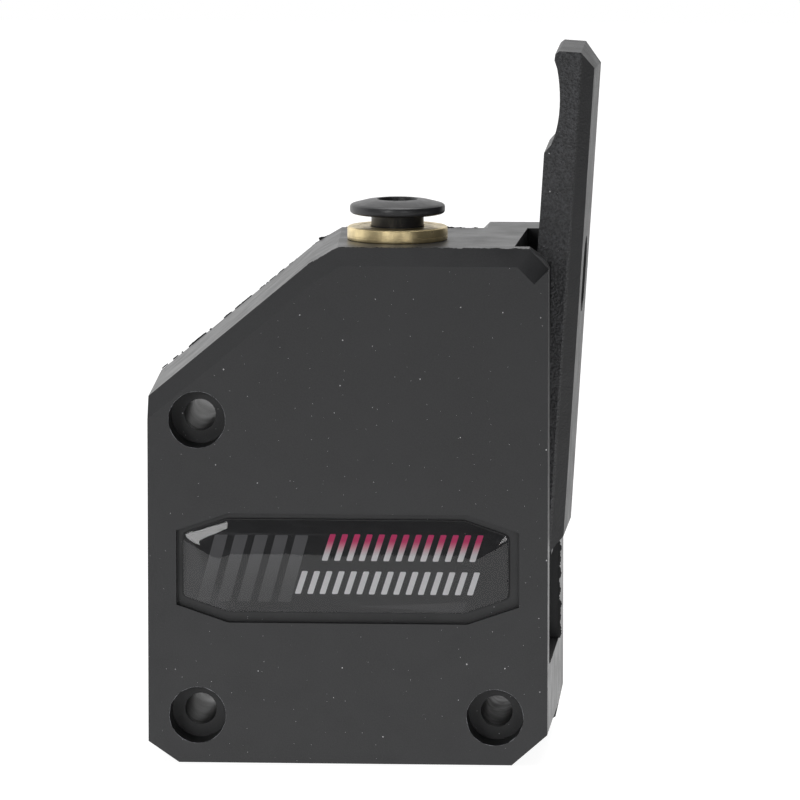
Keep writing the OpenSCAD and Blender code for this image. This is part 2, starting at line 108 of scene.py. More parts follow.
class Graph:
    """A material's node tree, with one short call for each kind of node."""

    def __init__(self, name):
        self.material = bpy.data.materials.new(name)
        self.material.use_nodes = True
        self.tree = self.material.node_tree
        self.tree.nodes.clear()
        self.output = self.node("ShaderNodeOutputMaterial")
        self.bsdf = self.node("ShaderNodeBsdfPrincipled")
        self.link(self.bsdf.outputs["BSDF"], self.output.inputs["Surface"])
        self.place = self.node("ShaderNodeTexCoord").outputs["Object"]

    def node(self, kind, **settings):
        made = self.tree.nodes.new(kind)
        for key, value in settings.items():
            setattr(made, key, value)
        return made

    def link(self, start, end):
        self.tree.links.new(start, end)

    def feed(self, socket, value):
        if isinstance(value, bpy.types.NodeSocket):
            self.link(value, socket)
        else:
            socket.default_value = value

    def stretch(self, scale, turn=(0, 0, 0)):
        made = self.node("ShaderNodeMapping")
        self.link(self.place, made.inputs["Vector"])
        made.inputs["Scale"].default_value = scale
        made.inputs["Rotation"].default_value = turn
        return made.outputs["Vector"]

    def noise(self, size, detail=2.0, rough=0.5, place=None):
        made = self.node("ShaderNodeTexNoise")
        self.link(place or self.place, made.inputs["Vector"])
        made.inputs["Scale"].default_value = 1 / size
        made.inputs["Detail"].default_value = detail
        made.inputs["Roughness"].default_value = rough
        return made.outputs["Fac"]

    def cells(self, size, output="Distance", place=None, dimensions="3D"):
        made = self.node("ShaderNodeTexVoronoi", voronoi_dimensions=dimensions)
        self.link(place or self.place, made.inputs["Vector"])
        made.inputs["Scale"].default_value = 1 / size
        return made.outputs[output]

    def axis(self, letter, place=None):
        parts = self.node("ShaderNodeSeparateXYZ")
        self.link(place or self.place, parts.inputs[0])
        return parts.outputs[letter]

    def specks(self, size):
        """Sparse dust of two sizes on the faces that look forwards, as a 0 or 1 share."""
        facing = self.node("ShaderNodeTexCoord").outputs["Normal"]
        front = self.math("LESS_THAN", self.axis("Y", facing), -0.9)
        flat = self.stretch((1, 1, 1), (math.pi / 2, 0, 0))
        share = 0.0
        for pitch, top in ((4.2 * MM, size), (1.7 * MM, 0.4 * size)):
            near = self.cells(pitch, place=flat, dimensions="2D")
            pick = self.cells(pitch, "Color", place=flat, dimensions="2D")
            reach = self.spread(self.axis("X", pick), 0.35, 1.0, 0.0, top / pitch)
            share = self.math("MAXIMUM", share, self.math("LESS_THAN", near, reach))
        return self.math("MULTIPLY", share, front)

    def spread(self, value, low, high, to_low=0.0, to_high=1.0, smooth=False):
        made = self.node("ShaderNodeMapRange")
        made.interpolation_type = "SMOOTHSTEP" if smooth else "LINEAR"
        numbers = (value, low, high, to_low, to_high)
        for socket, number in zip(("Value", "From Min", "From Max", "To Min", "To Max"), numbers):
            self.feed(made.inputs[socket], number)
        return made.outputs["Result"]

    def math(self, operation, a, b=0.0):
        made = self.node("ShaderNodeMath", operation=operation)
        self.feed(made.inputs[0], a)
        self.feed(made.inputs[1], b)
        return made.outputs[0]

    def mix(self, share, a, b):
        made = self.node("ShaderNodeMix", data_type="RGBA", blend_type="MIX")
        self.feed(made.inputs["Factor"], share)
        for socket, colour in (("A", a), ("B", b)):
            target = [s for s in made.inputs if s.name == socket and s.type == "RGBA"][0]
            self.feed(target, colour if isinstance(colour, bpy.types.NodeSocket) else (*colour, 1))
        return [s for s in made.outputs if s.type == "RGBA"][0]

    def bump(self, height, depth, under=None):
        made = self.node("ShaderNodeBump")
        made.inputs["Strength"].default_value = 1.0
        made.inputs["Distance"].default_value = depth
        self.link(height, made.inputs["Height"])
        if under:
            self.link(under, made.inputs["Normal"])
        return made.outputs["Normal"]

    def set(self, **inputs):
        for name, value in inputs.items():
            self.feed(self.bsdf.inputs[name.replace("_", " ")], value)


def shade(colour, factor):
    return tuple(min(1.0, c * factor) for c in colour)


def moulded_plastic(name, colour, grain=0.16 * MM, grain_depth=0.012 * MM, roughness=0.46,
                    mottle=0.10, dust=0.075 * MM, sparkle=1.28, front_grain=None):
    """Injection-moulded black plastic: sparkle grain, faint flow mottling, scuffs and white dust.

    front_grain is a (low, high) range of Y over which the grain fades out behind a coarse front face."""
    g = Graph(name)
    flow = g.noise(9 * MM, detail=3)
    fine = g.noise(grain, detail=2, rough=0.6)
    if front_grain:
        fine = g.math("MULTIPLY", fine, g.spread(g.axis("Y"), *front_grain, 1.0, 0.25))
    tone = g.mix(g.spread(flow, 0.3, 0.7), shade(colour, 1 - mottle), shade(colour, 1 + mottle))
    tone = g.mix(g.spread(fine, 0.35, 0.75), tone, shade(colour, sparkle))
    hair_place = g.stretch((1.0, 1.0, 3.5), (0.4, 0.9, 0.3))
    scuffs = g.spread(g.noise(0.9 * MM, detail=5, rough=0.7, place=hair_place), 0.70, 0.78)
    tone = g.mix(g.math("MULTIPLY", scuffs, 0.35), tone, shade(colour, 2.6))
    tone = g.mix(g.specks(dust), tone, DUST)
    rough = g.spread(g.noise(3 * MM, detail=4), 0.3, 0.7, roughness - 0.05, roughness + 0.06)
    normal = g.bump(fine, grain_depth)
    normal = g.bump(flow, 0.06 * MM, under=normal)
    g.set(Base_Color=tone, Roughness=rough, Normal=normal)
    g.bsdf.inputs["IOR"].default_value = 1.49
    return g.material


def metal(name, colour, roughness=0.24, lines=(1, 40, 1), line_depth=0.002 * MM, stain=0.15,
          line_size=1.2 * MM, metallic=1.0):
    """Machined metal: fine tool lines, slight staining and varied polish."""
    g = Graph(name)
    tool = g.noise(line_size, detail=3, place=g.stretch(lines))
    patch = g.noise(1.6 * MM, detail=4)
    tone = g.mix(g.spread(patch, 0.3, 0.75), colour, shade(colour, 1 - stain))
    rough = g.spread(patch, 0.3, 0.7, roughness - 0.07, roughness + 0.09)
    g.set(Base_Color=tone, Roughness=rough, Normal=g.bump(tool, line_depth))
    g.bsdf.inputs["Metallic"].default_value = metallic
    return g.material


def smooth_plastic(name, colour, roughness=0.35, mottle=0.06, grain=0.3 * MM, depth=0.004 * MM):
    """Turned or drawn plastic and rubber, without mould grain."""
    g = Graph(name)
    cloud = g.noise(2.2 * MM, detail=3)
    tone = g.mix(g.spread(cloud, 0.3, 0.7), shade(colour, 1 - mottle), shade(colour, 1 + mottle))
    rough = g.spread(g.noise(0.8 * MM), 0.3, 0.7, roughness - 0.04, roughness + 0.05)
    g.set(Base_Color=tone, Roughness=rough, Normal=g.bump(g.noise(grain), depth))
    return g.material


def printed_foil(name):
    """Dark printed foil of the badge, with a fine halftone and a soft sheen."""
    g = Graph(name)
    dots = g.cells(0.22 * MM)
    tone = g.mix(g.spread(dots, 0.1, 0.5), FOIL_DARK, FOIL_DOT)
    g.set(Base_Color=tone, Roughness=g.spread(g.noise(1 * MM), 0.3, 0.7, 0.3, 0.4))
    return g.material


def ink(name, colour, fade_to=None, low=0.0, high=1.0):
    """Printing ink; fade_to is its colour at height low, reached from colour at height high."""
    g = Graph(name)
    tone = g.mix(g.spread(g.noise(0.5 * MM), 0.3, 0.7), shade(colour, 0.94), colour)
    if fade_to:
        tone = g.mix(g.spread(g.axis("Z"), low, high, smooth=True), fade_to, tone)
    g.set(Base_Color=tone, Roughness=g.spread(g.noise(0.8 * MM), 0.3, 0.7, 0.42, 0.5))
    return g.material


def clear_resin(name):
    """Clear domed resin: what lies behind it shows, under a glossy skin."""
    g = Graph(name)
    skin = g.node("ShaderNodeBsdfGlossy")
    skin.inputs["Roughness"].default_value = 0.035
    ripple = g.bump(g.noise(5 * MM, detail=2), 0.02 * MM)
    g.link(ripple, skin.inputs["Normal"])
    see = g.node("ShaderNodeBsdfTransparent")
    see.inputs["Color"].default_value = (*RESIN_CLEAR, 1)
    share = g.node("ShaderNodeFresnel")
    share.inputs["IOR"].default_value = 1.53
    both = g.node("ShaderNodeMixShader")
    g.link(share.outputs[0], both.inputs[0])
    g.link(see.outputs[0], both.inputs[1])
    g.link(skin.outputs[0], both.inputs[2])
    g.link(both.outputs[0], g.output.inputs["Surface"])
    g.tree.nodes.remove(g.bsdf)
    return g.material


cover_plastic = moulded_plastic("cover_plastic", BLACK_PLASTIC)
housing_plastic = moulded_plastic("housing_plastic", shade(BLACK_PLASTIC, 1.05), roughness=0.38)
lever_plastic = moulded_plastic("lever_plastic", shade(BLACK_PLASTIC, 0.95), grain=0.24 * MM,
                                grain_depth=0.20 * MM, roughness=0.46, sparkle=4.0,
                                front_grain=(LEVER_FACE, LEVER_FACE + 0.2 * MM))
# Mould flash: real fins, in a colour painted darker than the housing as painted shade for the shadowed seam
# line along the back rim.
flash_plastic_painted_shade = moulded_plastic("flash_plastic_painted_shade", shade(BLACK_PLASTIC, 0.6), grain=0.1 * MM,
                                roughness=0.6)
worn_plastic = moulded_plastic("worn_plastic", shade(BLACK_PLASTIC, 13), grain=0.12 * MM,
                               grain_depth=0.03 * MM, roughness=0.5, mottle=0.5)
brass = metal("brass", BRASS, roughness=0.34, lines=(1, 1, 18), stain=0.48, line_size=0.9 * MM,
              line_depth=0.018 * MM, metallic=0.85)
# Steel of the pivot sleeve, with painted shade in its dark colour.
shaded_sleeve_steel = metal("shaded_sleeve_steel", SHADED_SLEEVE_STEEL, roughness=0.5, lines=(1, 1, 1),
                     line_depth=0.02 * MM, stain=0.5)
polished_steel = metal("polished_steel", STEEL, roughness=0.16)
bearing_steel = metal("bearing_steel", shade(STEEL, 1.1), roughness=0.13, lines=(1, 1, 1))
hardened_steel = metal("hardened_steel", shade(STEEL, 0.85), roughness=0.26)
zinc_steel = metal("zinc_steel", shade(STEEL, 1.15), roughness=0.30, stain=0.2)
spring_steel = metal("spring_steel", STEEL, roughness=0.20, lines=(1, 1, 1))
black_oxide = metal("black_oxide", BLACK_OXIDE, roughness=0.36, lines=(1, 1, 1))
acetal = smooth_plastic("natural_acetal", NATURAL, roughness=0.38)
ptfe = smooth_plastic("ptfe", WHITE, roughness=0.45)
collet_plastic = smooth_plastic("collet_plastic", COLLET_BLACK, roughness=0.36)
rubber = smooth_plastic("seal_rubber", RUBBER_BLACK, roughness=0.6)
foil = printed_foil("badge_foil")
resin = clear_resin("badge_resin")
grey_ink = ink("grey_ink", GREY_INK, shade(GREY_INK, 0.3), -3.5 * MM, 3.0 * MM)
pale_ink = ink("pale_ink", PALE_INK)
warm_ink = ink("warm_ink", MAGENTA, PALE_INK, 1.2 * MM, 3.0 * MM)


# ---- Mesh helpers ----

def link_mesh(name, mesh, material):
    piece = bpy.data.objects.new(name, mesh)
    bpy.context.scene.collection.objects.link(piece)
    mesh.materials.clear()
    mesh.materials.append(material)
    return piece


def smooth(mesh, angle=30):
    mesh.shade_smooth()
    mesh.set_sharp_from_angle(angle=math.radians(angle))


def finish_piece(piece, body, slot, *nodes):
    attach(piece, body)
    if nodes:
        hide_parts(*nodes)
    return piece


def softened(node, name, material, radius):
    """A CAD node's shape with its edges rounded, as a mould leaves them."""
    bm = bmesh.new()
    bm.from_mesh(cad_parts[node].data)
    bmesh.ops.remove_doubles(bm, verts=bm.verts, dist=0.002 * MM)
    bmesh.ops.dissolve_limit(bm, angle_limit=math.radians(0.6), verts=bm.verts, edges=bm.edges)
    mesh = bpy.data.meshes.new(name)
    bm.verts.ensure_lookup_table()
    mesh.from_pydata([v.co[:] for v in bm.verts], [], [[v.index for v in f.verts] for f in bm.faces])
    bm.free()
    mesh.validate()
    smooth(mesh, EDGE_ANGLE)
    piece = link_mesh(name, mesh, material)
    edge = piece.modifiers.new("edges", "BEVEL")
    edge.limit_method = "ANGLE"
    edge.angle_limit = math.radians(EDGE_ANGLE)
    edge.width = radius
    edge.segments = 3
    edge.use_clamp_overlap = True
    edge.harden_normals = True
    return piece


def turned(name, profile, material, centre, steps, radius_at=None):
    """Solid of revolution about Z through centre. profile is a closed loop of (radius, z).

    radius_at changes a point's radius from its angle, radius and z."""
    bm = bmesh.new()
    rings = []
    for k in range(steps):
        a = 2 * math.pi * k / steps
        ring = []
        for r, z in profile:
            grown = radius_at(a, r, z) if radius_at else r
            place = (centre.x + grown * math.cos(a), centre.y + grown * math.sin(a), z)
            ring.append(bm.verts.new(place))
        rings.append(ring)
    n = len(profile)
    for k in range(steps):
        one, two = rings[k], rings[(k + 1) % steps]
        for i in range(n):
            j = (i + 1) % n
            bm.faces.new((one[i], two[i], two[j], one[j]))
    bmesh.ops.recalc_face_normals(bm, faces=bm.faces)
    mesh = bpy.data.meshes.new(name)
    bm.to_mesh(mesh)
    bm.free()
    smooth(mesh)
    return link_mesh(name, mesh, material)


def rounded(points, radius, steps=5):
    """A closed loop of (x, y) points with each corner replaced by a curve close to an arc."""
    made = []
    n = len(points)
    for i in range(n):
        p, q, r = (Vector(points[(i + k) % n]) for k in (-1, 0, 1))
        into, out = (p - q).normalized(), (r - q).normalized()
        half = math.acos(max(-1, min(1, into.dot(out)))) / 2
        reach = min(radius / math.tan(half), 0.48 * (p - q).length, 0.48 * (r - q).length)
        start, end = q + into * reach, q + out * reach
        for k in range(steps + 1):
            t = k / steps
            made.append(tuple((1 - t) ** 2 * start + 2 * t * (1 - t) * q + t * t * end))
    return made


def solid_of(name, loops, material, angle=30):
    """Skin through loops of equally many points, capped at both ends."""
    bm = bmesh.new()
    rings = [[bm.verts.new(p) for p in loop] for loop in loops]
    for one, two in zip(rings, rings[1:]):
        n = len(one)
        for i in range(n):
            bm.faces.new((one[i], one[(i + 1) % n], two[(i + 1) % n], two[i]))
    bm.faces.new(rings[0])
    bm.faces.new(rings[-1])
    bmesh.ops.recalc_face_normals(bm, faces=bm.faces)
    mesh = bpy.data.meshes.new(name)
    bm.to_mesh(mesh)
    bm.free()
    smooth(mesh, angle)
    return link_mesh(name, mesh, material)


def joined(name, parts):
    """One piece out of several pieces of the same material."""
    material = parts[0].data.materials[0]
    bm = bmesh.new()
    for part in parts:
        bm.from_mesh(part.data)
        bpy.data.objects.remove(part)
    mesh = bpy.data.meshes.new(name)
    bm.to_mesh(mesh)
    bm.free()
    return link_mesh(name, mesh, material)


def inset_loop(points, by):
    """A convex loop of (x, z) points, in order, with every side moved inwards."""
    made = []
    n = len(points)
    for i in range(n):
        p, q, r = (Vector(points[(i + k) % n]) for k in (-1, 0, 1))
        into, out = (q - p).normalized(), (r - q).normalized()
        u, v = Vector((into.y, -into.x)), Vector((out.y, -out.x))
        made.append(tuple(q + by * (u + v) / (1 + u.dot(v))))
    return made


# ---- Casing ----

cover = softened("front_cover", "cover_plate", cover_plastic, 0.06 * MM)
finish_piece(cover, "frame", "black_plastic_cover", "front_cover")

housing = softened("main_housing", "housing_shell", housing_plastic, 0.07 * MM)
finish_piece(housing, "frame", "black_plastic", "main_housing")

lever = softened("idler_lever", "lever_arm", lever_plastic, 0.14 * MM)
finish_piece(lever, "lever", "black_plastic_lever", "idler_lever")


FLASH_ROOT = 0.10 * MM
FLASH_LEAST = 0.01 * MM


def flash_fin(name, path, out, seed, height, gap, thick=0.05 * MM, step=0.09 * MM):
    """Ragged mould flash along a straight path of two points, standing up along out.

    A larger gap leaves more of the path bare."""
    start, end = path
    along = (end - start).normalized()
    side = along.cross(out).normalized() * thick / 2
    count = int((end - start).length / step)
    tall = []
    for k in range(count + 1):
        wave = noise.noise(Vector((k * 0.11, seed, 0))) + 0.6 * noise.noise(Vector((k * 0.53, seed, 4)))
        tall.append(max(0.0, wave + 0.5 - gap) * height * 1.6)
    parts = []
    run = []
    for k, h in enumerate(tall + [0.0]):
        if h > FLASH_LEAST:
            foot = start + along * (k * step) - out * FLASH_ROOT
            tip = foot + out * (h + FLASH_ROOT)
            run.append([foot - side, foot + side, tip + side * 0.4, tip - side * 0.4])
            continue
        if len(run) > 2:
            parts.append(solid_of(name, run, flash_plastic_painted_shade))
        run = []
    return parts


def mould_flash():
    """Flash on the back rim of the shell, round the lever's window and on the cover's parting line, in
    plastic painted darker as painted shade.
    """
    def spot(x, z, depth):
        return Vector((x * MM, FRONT + depth * MM, z * MM))

    shell_back = 21.25
    parting = 1.42
    parts = []
    rims = (((-21.0, 18.2), (-4.4, 31.85), 0.032, 0.15),
            ((-4.2, 32.0), (-1.0, 33.38), 0.11, -0.3),
            ((-0.8, 33.4), (12.7, 33.4), 0.07, -0.2))
    for k, (one, two, height, gap) in enumerate(rims):
        path = (spot(*one, shell_back), spot(*two, shell_back))
        along = path[1] - path[0]
        up = Vector((-along.z, 0, along.x)).normalized()
        parts += flash_fin("rim_flash", path, up, k + 0.5, height * MM, gap)
    window_side = (spot(21.27, -10.4, shell_back), spot(21.27, 0.6, shell_back))
    parts += flash_fin("window_flash", window_side, Vector((1, 0, 0)), 7.3, 0.12 * MM, -0.45)
    window_foot = (spot(21.03, -10.42, 5), spot(21.22, -10.42, 20.5))
    parts += flash_fin("window_flash", window_foot, Vector((0.3, 0, 0.95)), 9.1, 0.35 * MM, 0.2)
    top_line = (spot(-0.9, 33.4, parting), spot(18.7, 33.4, parting))
    parts += flash_fin("parting_flash", top_line, Vector((0, 0, 1)), 11.7, 0.05 * MM, -0.1, 0.12 * MM)
    crown_line = (spot(-4.1, 31.56, parting), spot(-1.0, 33.38, parting))
    parts += flash_fin("parting_flash", crown_line, Vector((-0.42, 0, 0.91)), 13.1, 0.04 * MM, -0.1,
                       0.12 * MM)
    return joined("mould_flash", parts)


finish_piece(mould_flash(), "frame", "black_plastic")


def worn_rim(x, z, seed, steps=120, sides=6):
    """Irregular worn ring on the edge of a screw well."""
    loops = []
    for k in range(steps + 1):
        a = 2 * math.pi * k / steps
        wear = noise.noise(Vector((3 * math.cos(a), 3 * math.sin(a), seed)))
        wear += 0.5 * noise.noise(Vector((14 * math.cos(a), 14 * math.sin(a), seed)))
        thick = (0.040 + 0.040 * max(-0.7, wear)) * MM
        ring = []
        for i in range(sides):
            b = 2 * math.pi * i / sides
            r = WELL_R + 0.02 * MM + thick * math.cos(b)
            y = FRONT + 0.012 * MM + 0.14 * thick * math.sin(b)
            ring.append((x * MM + r * math.cos(a), y, z * MM + r * math.sin(a)))
        loops.append(ring)
    return solid_of("worn_rim", loops, worn_plastic)


rims = joined("worn_well_rims", [worn_rim(x, z, 2.0 + i) for i, (x, z) in enumerate(SCREW_WELLS)])
finish_piece(rims, "frame", "black_plastic_cover")


# ---- Badge, in millimetres until badge_loop ----

BADGE_SHIFT = (-0.10, 0.18)
BADGE_INSET = 0.95
BADGE_HALF_W = 17.85
BADGE_HALF_H = 5.75
BADGE_CUT_X = 5.4
BADGE_CUT_Z = 1.85
BADGE_ROUND = 0.8
FOIL_SPARE = 0.12
FOIL_EDGE = 0.04
DOME_EDGE = 0.22
DOME_REACH = 4.8


def badge_octagon():
    """Outline of the badge's recess: a rectangle with its corners cut."""
    inner_x, inner_z = BADGE_HALF_W - BADGE_CUT_X, BADGE_HALF_H - BADGE_CUT_Z
    left = [(-inner_x, -BADGE_HALF_H), (-BADGE_HALF_W, -inner_z), (-BADGE_HALF_W, inner_z),
            (-inner_x, BADGE_HALF_H)]
    return left + [(-x, z) for x, z in reversed(left)]


def badge_loop(by, y, radius):
    flat = rounded(inset_loop(badge_octagon(), by), radius)
    return [((x + BADGE_SHIFT[0]) * MM, y, (z + BADGE_SHIFT[1]) * MM) for x, z in flat]


def badge_foil_plate():
    outer = BADGE_INSET - FOIL_SPARE
    loops = [badge_loop(outer, foil_high.y, BADGE_ROUND),
             badge_loop(outer, foil_low.y + FOIL_EDGE * MM, BADGE_ROUND),
             badge_loop(outer + 0.03, foil_low.y, BADGE_ROUND)]
    return solid_of("badge_foil_plate", loops, foil)


def badge_resin_dome():
    """Crowned resin: a low upright edge, then a surface that flattens towards the middle."""
    height = dome_low.y - dome_high.y
    foot = badge_loop(BADGE_INSET, dome_high.y, BADGE_ROUND)
    loops = [foot, [(x, dome_high.y + DOME_EDGE * height, z) for x, y, z in foot]]
    for inset_by in (0.06, 0.16, 0.32, 0.55, 0.85, 1.25, 1.75, 2.35, 3.0, 3.6):
        rest = 1 - inset_by / DOME_REACH
        rise = DOME_EDGE + (1 - DOME_EDGE) * (1 - rest ** 3)
        radius = max(0.15, BADGE_ROUND - 0.15 * inset_by)
        loops.append(badge_loop(BADGE_INSET + inset_by, dome_high.y + height * rise, radius))
    return solid_of("badge_resin_dome", loops, resin, angle=60)


def slashes(name, start, count, pitch, width, low, high, lean, material):
    """Row of slanted printed bars on the foil."""
    parts = []
    for k in range(count):
        x = start + k * pitch
        corners = [(x, low), (x + lean, high), (x + lean + width, high), (x + width, low)]
        flat = rounded(corners, 0.12, steps=3)
        loops = [[(u * MM, foil_low.y + y * MM, v * MM) for u, v in flat] for y in (0.002, -0.012)]
        parts.append(solid_of(name, loops, material))
    return joined(name, parts)


finish_piece(badge_foil_plate(), "frame", "badge_foil", "badge_backing")
finish_piece(badge_resin_dome(), "frame", "badge_resin", "badge_dome")
for row in (("print_grey_bars", -15.6, 5, 2.1, 1.35, -3.6, 3.4, 1.9, grey_ink),
            ("print_warm_bars", -2.6, 13, 1.28, 0.62, 0.75, 3.55, 0.9, warm_ink),
            ("print_pale_bars", -5.4, 15, 1.28, 0.62, -2.75, -0.35, 0.78, pale_ink)):
    finish_piece(slashes(*row), "frame", "badge_foil")


# ---- Push-fit coupling, with its turned profiles in millimetres ----

RING_R = (ring_high.x - ring_low.x) / 2 / MM
RING_TOP = ring_high.z / MM
RING_SEAT = BODY_TOP / MM
RING_FOOT = ring_low.z / MM
LINER_R = 1.06
TUBE_R = 2.1
BARB_R = 3.95
SEAL_R = 3.3
CLAW_R = 3.5
CLAW_FOOT = 28.25
MOUTH_R = 2.87
COLLET_R = (collet_high.x - collet_low.x) / 2 / MM
COLLET_TOP = collet_high.z / MM
COLLET_UNDER = RING_SEAT + 2.65
COLLET_FOOT = 29.82


def scaled(profile):
    return [(radius * MM, height * MM) for radius, height in profile]


def turning_marks(a, r, z):
    """Radius r at angle a and height z, less the tool marks on the part of the ring that shows."""
    if z < RING_SEAT * MM or r < 3.2 * MM:
        return r
    return r - 0.012 * MM * abs(noise.noise(Vector((9 * math.cos(a), 9 * math.sin(a), z / MM * 3))))


def brass_coupling():
    profile = [(LINER_R, RING_FOOT + 0.02), (3.75, RING_FOOT + 0.02), (3.9, RING_FOOT + 0.2)]
    for k in range(5):
        z = RING_FOOT + 0.6 + 1.2 * k
        profile += [(BARB_R, z), (BARB_R, z + 0.5), (BARB_R - 0.15, z + 0.62), (BARB_R - 0.15, z + 0.98)]
    profile += [(3.96, RING_SEAT - 0.2), (3.96, RING_SEAT + 0.005), (RING_R - 0.12, RING_SEAT + 0.005)]
    profile += [(RING_R - 0.03, RING_SEAT + 0.06), (RING_R, RING_SEAT + 0.14), (RING_R, RING_SEAT + 0.42)]
    profile += [(RING_R - 0.02, RING_SEAT + 0.45), (RING_R, RING_SEAT + 0.48), (RING_R, RING_TOP - 0.26)]
    profile += [(RING_R - 0.05, RING_TOP - 0.1), (RING_R - 0.16, RING_TOP - 0.02)]
    profile += [(RING_R - 0.28, RING_TOP), (4.1, RING_TOP), (4.05, RING_TOP - 0.03)]
    profile += [(3.95, RING_TOP - 0.03), (3.9, RING_TOP), (3.0, RING_TOP), (MOUTH_R, RING_TOP - 0.12)]
    profile += [(MOUTH_R, RING_SEAT - 0.38), (CLAW_R, RING_SEAT - 0.42), (CLAW_R, CLAW_FOOT)]
    profile += [(SEAL_R, CLAW_FOOT - 0.05), (SEAL_R, RING_FOOT + 0.5), (LINER_R, RING_FOOT + 0.5)]
    return turned("brass_coupling", scaled(profile), brass, PATH, 144, turning_marks)


def collet_button():
    foot = [(TUBE_R, COLLET_FOOT + 0.08), (2.3, COLLET_FOOT), (3.2, COLLET_FOOT), (3.33, COLLET_FOOT + 0.13)]
    step = [(3.33, RING_SEAT - 0.6), (3.25, RING_SEAT - 0.52), (2.75, RING_SEAT - 0.5)]
    neck = [(2.74, COLLET_UNDER - 0.25), (2.8, COLLET_UNDER - 0.1), (2.95, COLLET_UNDER)]
    rim_steps = ((0.45, 0.03), (0.22, 0.09), (0.07, 0.2), (0.0, 0.36),
                 (0.0, 0.8), (0.06, 0.95), (0.2, 1.06), (0.45, 1.14))
    rim = [(COLLET_R - inwards, COLLET_UNDER + upwards) for inwards, upwards in rim_steps]
    crown = [(COLLET_R - 1.0, COLLET_TOP - 0.29), (3.3, COLLET_TOP - 0.12), (2.7, COLLET_TOP - 0.04)]
    mouth = [(2.35, COLLET_TOP - 0.005), (2.2, COLLET_TOP), (2.14, COLLET_TOP - 0.04)]
    profile = foot + step + neck + rim + crown + mouth + [(TUBE_R, COLLET_TOP - 0.12)]
    return turned("collet_button", scaled(profile), collet_plastic, PATH, 128)


finish_piece(brass_coupling(), "frame", "brass", "coupling_body")
finish_piece(collet_button(), "collet", "black_acetal", "collet")


# ---- Gears ----

HOB_RIDGES = 36
GROOVE_STEPS = 9
PITCH_R = PATH.x
RIDGE_SECTION = ((1.04, -0.34), (0.80, -0.05), (0.80, 0.05), (1.04, 0.34))


def hob_ridges(name, x, body, turn):
    """Cutting teeth in the groove of a hobbed gear.

    RIDGE_SECTION gives a tooth's reach from the filament's middle and its swing round the gear, in mm."""
    parts = []
    for k in range(HOB_RIDGES):
        a = 2 * math.pi * (k + turn) / HOB_RIDGES
        loops = []
        for i in range(GROOVE_STEPS):
            b = math.radians(-62 + 15.5 * i)
            loop = []
            for reach, swing in RIDGE_SECTION:
                r = PITCH_R - reach * MM * math.cos(b)
                w = a + swing * MM / PITCH_R
                y = PATH.y + reach * MM * math.sin(b)
                loop.append((x + r * math.cos(w), y, SHAFT_Z + r * math.sin(w)))
            loops.append(loop)
        parts.append(solid_of(name, loops, hardened_steel))
    return finish_piece(joined(name, parts), body, "hardened_steel")


hob_ridges("drive_hob_ridges", 0.0, "drive", 0.0)
hob_ridges("idler_hob_ridges", IDLER_X, "idler", 0.5)

for node, name, material, body, slot, radius in (
        ("drive_gear", "drive_hob", hardened_steel, "drive", "hardened_steel", 0.04),
        ("idler_gear", "idler_hob", hardened_steel, "idler", "hardened_steel", 0.04),
        ("large_gear", "spur_gear", acetal, "drive", "natural_acetal", 0.05),
        ("large_gear_hub", "spur_gear_hub", polished_steel, "drive", "bearing_steel", 0.06),
        ("drive_shaft", "shaft", polished_steel, "drive", "bearing_steel", 0.12),
        ("tension_nut", "captive_nut", zinc_steel, "frame", "zinc_steel", 0.12),
        ("pivot_sleeve", "lever_sleeve", shaded_sleeve_steel, "frame", "bearing_steel", 0.10),
        ("idler_pin", "idler_axle", polished_steel, "lever", "bearing_steel", 0.12)):
    finish_piece(softened(node, name, material, radius * MM), body, slot, node)


# ---- CAD nodes that keep their shape and get a material ----

for material, nodes in (
        (bearing_steel, ("needle_bearing_cups", "needle_rollers",
                         "front_bearing_outer_ring", "front_bearing_inner_ring", "front_bearing_balls",
                         "rear_bearing_outer_ring", "rear_bearing_inner_ring", "rear_bearing_balls")),
        (spring_steel, ("front_shim", "rear_shim", "collet_claws")),
        (black_oxide, ("drive_grub_screw",)),
        (ptfe, ("upper_liner_tube", "lower_liner_tube")),
        (rubber, ("coupling_seal_ring",))):
    for node in nodes:
        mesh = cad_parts[node].data
        mesh.materials.clear()
        mesh.materials.append(material)


# ---- Studio ----

# Each ramp is (from, to, strength at from, strength at to) along one axis of the surround.
WORLD_FRONT_TO_BACK = (-0.55, 0.15, 0.12, 0.98)
WORLD_LEFT_TO_RIGHT = (-1.0, 1.0, 1.45, 0.5)
WORLD_FAR_RIGHT = (0.35, 0.9, 1.0, 0.2)
WORLD_LOW_TO_HIGH = (-1.0, 1.0, 1.25, 0.75)
FLOOR_LEFT, FLOOR_RIGHT = -0.9, 0.32
FLOOR_FRONT, FLOOR_BACK = -0.22, 0.9
FLOOR_GLOW = 0.93


def softbox(name, place, target, size, power):
    light = bpy.data.lights.new(name, "AREA")
    light.shape = "RECTANGLE"
    light.size, light.size_y = size
    light.energy = power
    lamp = bpy.data.objects.new(name, light)
    bpy.context.scene.collection.objects.link(lamp)
    lamp.location = place
    lamp.rotation_euler = (Vector(target) - Vector(place)).to_track_quat("-Z", "Y").to_euler()


